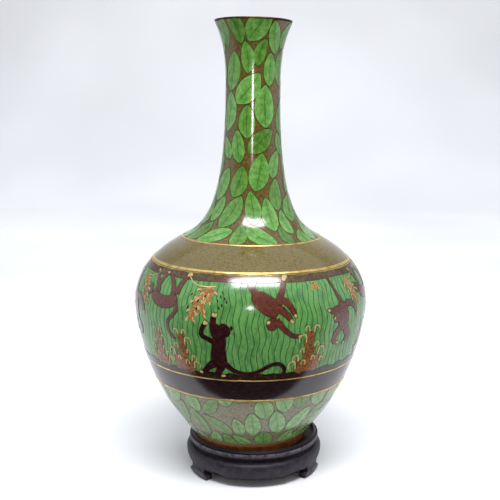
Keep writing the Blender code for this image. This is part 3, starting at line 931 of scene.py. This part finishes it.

# Carved hardwood, stained and waxed: nearly black violet-brown with short upright grain, greyed
# in patches by dust in the wax. The arris carries a painted highlight and the toes are paler where
# rubbed; painted shade lies dark and red over the rim top, the cove and the dish.
wood, wood_shader = new_material("stained_hardwood", 0.50)
wood_shader.inputs["Specular IOR Level"].default_value = 0.30
grain = mottle(wood, 3.0, detail=6.0, roughness=0.65, stretch=(1.0, 1.0, 7.0))
wood_colour = add_node(wood, "ShaderNodeValToRGB", {"Fac": grain},
                       [(0.3, "#120d12"), (0.5, "#241c25"), (0.72, "#443c48")]).outputs["Color"]
dusty = add_node(wood, "ShaderNodeValToRGB", {"Fac": mottle(wood, 5.0, detail=4.0)},
                 [(0.40, "#8a8690"), (0.60, "#ffffff")]).outputs["Color"]
rub_and_painted_light = add_node(wood, "ShaderNodeAttribute", attribute_name="rub_and_painted_light").outputs["Fac"]
# Painted shade: the rim top, the cove and the dish under the vase are darkened and reddened.
painted_cove_shade = add_node(wood, "ShaderNodeValToRGB", {"Fac": rub_and_painted_light},
                   [(0.0, "#8c5560"), (0.5, "#ffffff")]).outputs["Color"]
for share, layer in ((0.8, dusty), (1.0, painted_cove_shade)):
    wood_colour = add_node(wood, "ShaderNodeMix", {0: share, 6: wood_colour, 7: layer},
                           data_type="RGBA", blend_type="MULTIPLY").outputs[2]
# A painted highlight on the arris, and the real rub on the toes, lighten the wood towards pale grey.
painted_arris_highlight_and_rub = add_node(wood, "ShaderNodeValToRGB", {"Fac": rub_and_painted_light},
                 [(0.5, "#000000"), (1.0, "#ffffff")]).outputs["Color"]
uneven_rub = add_node(wood, "ShaderNodeValToRGB", {"Fac": mottle(wood, 4.0, detail=4.0)},
                      [(0.35, "#3a3a3a"), (0.6, "#d0d0d0")]).outputs["Color"]
rub_and_painted_highlight = add_node(wood, "ShaderNodeMix", {0: 1.0, 6: painted_arris_highlight_and_rub, 7: uneven_rub},
                  data_type="RGBA", blend_type="MULTIPLY").outputs[2]
wood_colour = add_node(wood, "ShaderNodeMix", {0: rub_and_painted_highlight, 6: wood_colour, 7: linear("#7c7180")},
                       data_type="RGBA").outputs[2]
wood.node_tree.links.new(wood_colour, wood_shader.inputs["Base Color"])
pores = add_node(wood, "ShaderNodeBump", {"Height": grain, "Distance": 0.10 * MM, "Strength": 1.0})
wood.node_tree.links.new(pores.outputs["Normal"], wood_shader.inputs["Normal"])

ARRIS_RADIUS = 0.0607
RIM_TOP = RIM_Z - 0.0012
ARRIS_Z = RIM_Z - 0.0036
FACE_Z = RIM_Z - 0.0080
GROOVE_TOP = FACE_Z - 0.0004
GROOVE_BOTTOM = RIM_Z - 0.0118
GROOVE_RADIUS = 0.0573
# The stand's section, from the middle of the dish out to its wall and over the rounded rim.
profile = [(0.0, SEAT_Z), (0.3 * DISH_RADIUS, SEAT_Z), (0.7 * DISH_RADIUS, SEAT_Z),
           (DISH_RADIUS - 0.0010, SEAT_Z), (DISH_RADIUS, SEAT_Z + 0.0008), (DISH_RADIUS, RIM_TOP - 0.0008),
           (DISH_RADIUS + 0.0003, RIM_TOP - 0.0001), (DISH_RADIUS + 0.0007, RIM_TOP),
           (DISH_RADIUS + 0.0012, RIM_TOP - 0.0004)]
# A cove falls from the rim to the arris, under it stands a flat face, and then a deep groove.
profile += [(DISH_RADIUS + 0.0016, RIM_TOP - 0.0012), (DISH_RADIUS + 0.0026, ARRIS_Z + 0.0002),
            (ARRIS_RADIUS - 0.0007, ARRIS_Z - 0.0001), (ARRIS_RADIUS - 0.0001, ARRIS_Z),
            (ARRIS_RADIUS + 0.0001, ARRIS_Z - 0.0005), (ARRIS_RADIUS + 0.0002, FACE_Z + 0.0006),
            (ARRIS_RADIUS - 0.0004, FACE_Z), (GROOVE_RADIUS + 0.0006, GROOVE_TOP),
            (GROOVE_RADIUS, GROOVE_TOP - 0.0008), (GROOVE_RADIUS, GROOVE_BOTTOM + 0.0008),
            (GROOVE_RADIUS + 0.0008, GROOVE_BOTTOM)]
# The frieze bulges out to its fullest.
for angle in (80, 65, 50, 35, 20, 8):
    lean = math.radians(angle)
    profile.append((BULGE_RADIUS - 0.0045 * (1.0 - math.cos(lean)),
                    BULGE_Z + (GROOVE_BOTTOM - BULGE_Z) * math.sin(lean)))
# The apron draws in towards its lower edge, and the feet below swell a little and turn under.
profile += [(BULGE_RADIUS - 0.0001, BULGE_Z - 0.0022), (BULGE_RADIUS - 0.0006, 0.5 * (BULGE_Z + APRON_Z)),
            (BULGE_RADIUS - 0.0014, APRON_Z + 0.0022), (BULGE_RADIUS - 0.0020, APRON_Z + 0.0004)]
profile += [(BULGE_RADIUS - inset, z) for inset, z in ((0.0022, 0.0085), (0.0019, 0.0066), (0.0013, 0.0050),
                                                       (0.0010, 0.0038), (0.0013, 0.0022),
                                                       (0.0022, 0.0008), (0.0036, 0.0))]
# Then up the inside of the apron, and back to the middle under the dish.
inner = BULGE_RADIUS - APRON_THICKNESS
under = SEAT_Z - PLATE_THICKNESS
profile += [(inner, 0.0), (inner, under), (0.5 * inner, under), (0.0, under)]
stand = spun("carved_stand", profile, steps=144, centre_x=STAND_X)


LOBE_RISE = 0.0016
CUSP_DROP = 0.0012


def arch_height(share):
    """Height of the opening between two feet: 0 is midway, 1 is at the foot."""
    lobe = math.sin(math.pi * min(1.0, max(0.0, (share - 0.55) / 0.45)))
    return APRON_Z + LOBE_RISE * lobe - CUSP_DROP * math.exp(-((share - 0.52) / 0.07) ** 2)


def cut_with(piece, cutter):
    """Takes the cutter's shape out of the piece and throws the cutter away."""
    select_only(piece)
    modifier = piece.modifiers.new("cut", "BOOLEAN")
    modifier.operation = "DIFFERENCE"
    modifier.solver = "EXACT"
    modifier.object = cutter
    bpy.ops.object.modifier_apply(modifier="cut")
    bpy.data.objects.remove(cutter, do_unlink=True)


# The openings between the feet: a strip of each arch's outline, drawn up and sawn through.
BELOW_FLOOR = 0.005
half = 60.0 - FOOT_HALF_ANGLE
for azimuth in FOOT_AZIMUTHS:
    wedge = unit_grid(48, 1)
    bpy.ops.object.mode_set(mode="EDIT")
    bpy.ops.mesh.select_all(action="SELECT")
    bpy.ops.mesh.extrude_region_move(TRANSFORM_OT_translate={"value": (0.0, 0.0, 1.0)})
    bpy.ops.object.mode_set(mode="OBJECT")
    for vertex in wedge.data.vertices:
        share = 2.0 * vertex.co.x
        turn = math.radians(azimuth + 60.0 + half * share)
        radius = BULGE_RADIUS - 3.0 * APRON_THICKNESS * vertex.co.y
        top = arch_height(abs(share))
        vertex.co = (STAND_X + radius * math.sin(turn), -radius * math.cos(turn),
                     -BELOW_FLOOR + (top + BELOW_FLOOR) * vertex.co.z)
    select_only(wedge)
    bpy.ops.object.mode_set(mode="EDIT")
    bpy.ops.mesh.select_all(action="SELECT")
    bpy.ops.mesh.normals_make_consistent(inside=False)
    bpy.ops.object.mode_set(mode="OBJECT")
    cut_with(stand, wedge)
# A round hollow on each side of a foot leaves its scroll.
SCROLL_RADIUS = 0.0032
for azimuth in FOOT_AZIMUTHS:
    for side in (-1.0, 1.0):
        turn = math.radians(azimuth + side * (FOOT_HALF_ANGLE - 0.5))
        bpy.ops.object.select_all(action="DESELECT")
        bpy.ops.mesh.primitive_cylinder_add(
            vertices=24, radius=SCROLL_RADIUS, depth=4.0 * APRON_THICKNESS,
            rotation=(0.5 * math.pi, 0.0, turn),
            location=(STAND_X + BULGE_RADIUS * math.sin(turn), -BULGE_RADIUS * math.cos(turn),
                      APRON_Z - 0.7 * SCROLL_RADIUS))
        cut_with(stand, bpy.context.object)
# A painted highlight makes the arris paler, and the toes are rubbed paler than the rest; painted shade lies
# dark over the rim top, the dish and the cove.
ARRIS_PAINTED_HIGHLIGHT = 1.0
ON_TOE = 0.8
PLAIN = 0.5
PAINTED_SHADE_ON_TOP = 0.0
TOE_TOP = 0.0055
rub_and_painted_light_layer = stand.data.attributes.new("rub_and_painted_light", "FLOAT", "POINT")
for vertex, mark in zip(stand.data.vertices, rub_and_painted_light_layer.data):
    radius = math.hypot(vertex.co.x - STAND_X, vertex.co.y)
    # The arris gets the painted highlight.
    if abs(vertex.co.z - ARRIS_Z + 0.0002) < 0.0004 and radius > ARRIS_RADIUS - 0.0004:
        mark.value = ARRIS_PAINTED_HIGHLIGHT
    elif vertex.co.z < TOE_TOP and radius > BULGE_RADIUS - 0.0014:
        mark.value = ON_TOE
    # Everything above the arris gets painted shade.
    elif vertex.co.z > ARRIS_Z - 0.0002:
        mark.value = PAINTED_SHADE_ON_TOP
    else:
        mark.value = PLAIN
stand.data.materials.append(wood)
select_only(stand)
bpy.ops.object.shade_smooth_by_angle(angle=math.radians(40))
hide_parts("wood_stand")
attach(stand, "root")

# ==================================================================================================
# The studio: a white cloth on the floor that bends up behind the vase. A small flash stands by the
# camera, a bright window is overhead, and a lamp of its own lights the backdrop.
# ==================================================================================================
# Matt white cotton: no shine, and large soft patches of painted shade where it does not lie quite flat.
sweep_white, sweep_shader = new_material("white_cloth", 0.9)
# Painted shade: the noise darkens the white a little in large soft patches.
cloth_colour = add_node(sweep_white, "ShaderNodeValToRGB", {"Fac": mottle(sweep_white, 600.0, detail=1.0)},
                        [(0.35, "#e0dfde"), (0.65, "#e9e8e7")]).outputs["Color"]
sweep_white.node_tree.links.new(cloth_colour, sweep_shader.inputs["Base Color"])
BACK_Y = 2.1
CLOTH_EDGE_Y = -0.115
BEND = 0.8
CLOTH_WIDTH = 8.0


def sweep_piece(name, near_y, far_run, cuts):
    """A strip of the white sweep: it runs back along the floor, and then bends up."""
    strip = unit_grid(8, cuts)
    strip.name = name
    for vertex in strip.data.vertices:
        run = near_y + (far_run - near_y) * (vertex.co.y + 0.5)
        angle = min(max((run - BACK_Y) / BEND, 0.0), 0.5 * math.pi)
        rise = BEND * (1.0 - math.cos(angle)) + max(run - BACK_Y - 0.5 * math.pi * BEND, 0.0)
        vertex.co = (CLOTH_WIDTH * vertex.co.x, min(run, BACK_Y) + BEND * math.sin(angle), rise)
    strip.data.materials.append(sweep_white)
    bpy.ops.object.shade_smooth()
    return strip


sweep_piece("white_sweep", CLOTH_EDGE_Y, 6.5, 96)
# The floor this side of the cloth is kept out of reflections, so the foot of the vase stays dark.
near_floor = sweep_piece("near_floor", -2.4, CLOTH_EDGE_Y, 8)
near_floor.visible_glossy = False

CAMERA_PLACE = Vector((0.0308, -0.7357, 0.3269))
CAMERA_DOWN = 9.336
CAMERA_ROLL = 0.910
camera_data = bpy.data.cameras.new("camera")
camera_data.sensor_width = 36.0
camera_data.lens = 58.27
camera_data.shift_x = -0.07
camera = bpy.data.objects.new("camera", camera_data)
tilt = Matrix.Rotation(math.radians(90.0 - CAMERA_DOWN), 4, "X")
roll = Matrix.Rotation(math.radians(CAMERA_ROLL), 4, "Z")
camera.matrix_world = Matrix.Translation(CAMERA_PLACE) @ tilt @ roll
bpy.context.collection.objects.link(camera)
bpy.context.scene.camera = camera


def area_light(name, place, target, width, height, power, colour):
    """A flat lamp at a place, turned towards its target."""
    data = bpy.data.lights.new(name, "AREA")
    data.shape = "RECTANGLE"
    data.size = width
    data.size_y = height
    data.energy = power
    data.color = linear(colour)[:3]
    light = bpy.data.objects.new(name, data)
    light.location = place
    light.rotation_euler = (Vector(target) - Vector(place)).to_track_quat("-Z", "Y").to_euler()
    bpy.context.collection.objects.link(light)
    return light


middle = (0.0, 0.0, 0.2)
area_light("flash", CAMERA_PLACE + Vector((-0.012, 0.0, 0.042)), middle,
           width=0.020, height=0.020, power=0.5, colour="#fff8ee")
area_light("window", (0.10, -0.62, 1.28), middle,
           width=0.86, height=0.34, power=24.0, colour="#f6f9ff")
backdrop_light = area_light("backdrop_light", (0.0, 0.9, 2.4), (0.0, 2.9, 0.9),
                            width=2.4, height=0.5, power=48.0, colour="#f6f9ff")
backdrop_light.visible_glossy = False

# The room: white cloth at the sides and behind, and the darker room on the camera's side.
world = bpy.data.worlds.new("room")
world.use_nodes = True
direction = add_node(world, "ShaderNodeTexCoord").outputs["Generated"]
DARK_SIDE = (0.05, -0.86, -0.50)
to_room = add_node(world, "ShaderNodeVectorMath", {0: direction, 1: DARK_SIDE},
                   operation="DOT_PRODUCT").outputs["Value"]
room = add_node(world, "ShaderNodeValToRGB", {"Fac": to_room},
                [(0.12, "#e2e7f0"), (0.38, "#7d8086"), (0.60, "#131110")]).outputs["Color"]
from_camera = add_node(world, "ShaderNodeLightPath").outputs["Is Camera Ray"]
seen = add_node(world, "ShaderNodeMix", {0: from_camera, 6: room, 7: linear("#e9edf5")},
                data_type="RGBA").outputs[2]
world.node_tree.links.new(seen, world.node_tree.nodes["Background"].inputs["Color"])
world.node_tree.nodes["Background"].inputs["Strength"].default_value = 1.0
bpy.context.scene.world = world
bpy.context.scene.view_settings.view_transform = "Standard"
